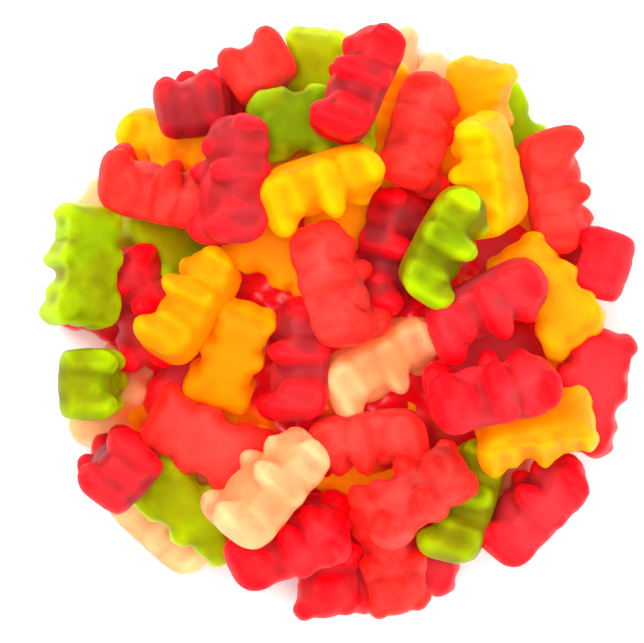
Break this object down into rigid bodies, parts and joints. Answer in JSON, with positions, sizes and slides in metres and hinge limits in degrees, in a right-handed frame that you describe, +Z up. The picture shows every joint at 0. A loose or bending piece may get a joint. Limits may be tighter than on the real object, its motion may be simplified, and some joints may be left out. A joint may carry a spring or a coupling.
{
  "type": "heap of gummy bears",
  "caption": "Round loose heap of small glossy see-through fruit jelly sweets moulded as bears, in red, coral, orange, yellow, green and pale peach, lying on a flat surface.",
  "frame": {"origin": "middle of the heap's flat foot, on the surface it lies on", "axes": "+Z up, the heap's shortest way; +X and +Y level, right and up as seen from above"},
  "size_m": [0.1065, 0.1069, 0.0385],
  "materials": {
    "gummy_red": "glossy, see-through red fruit jelly",
    "gummy_crimson": "glossy, see-through dark red fruit jelly",
    "gummy_coral": "glossy, see-through coral red fruit jelly",
    "gummy_orange": "glossy, see-through orange fruit jelly",
    "gummy_yellow": "glossy, see-through yellow fruit jelly",
    "gummy_green": "glossy, see-through lime green fruit jelly",
    "gummy_peach": "glossy, see-through pale peach fruit jelly"
  },
  "bodies": {
    "root": {"gummy_bears": "gummy_red"}
  },
  "joints": []
}
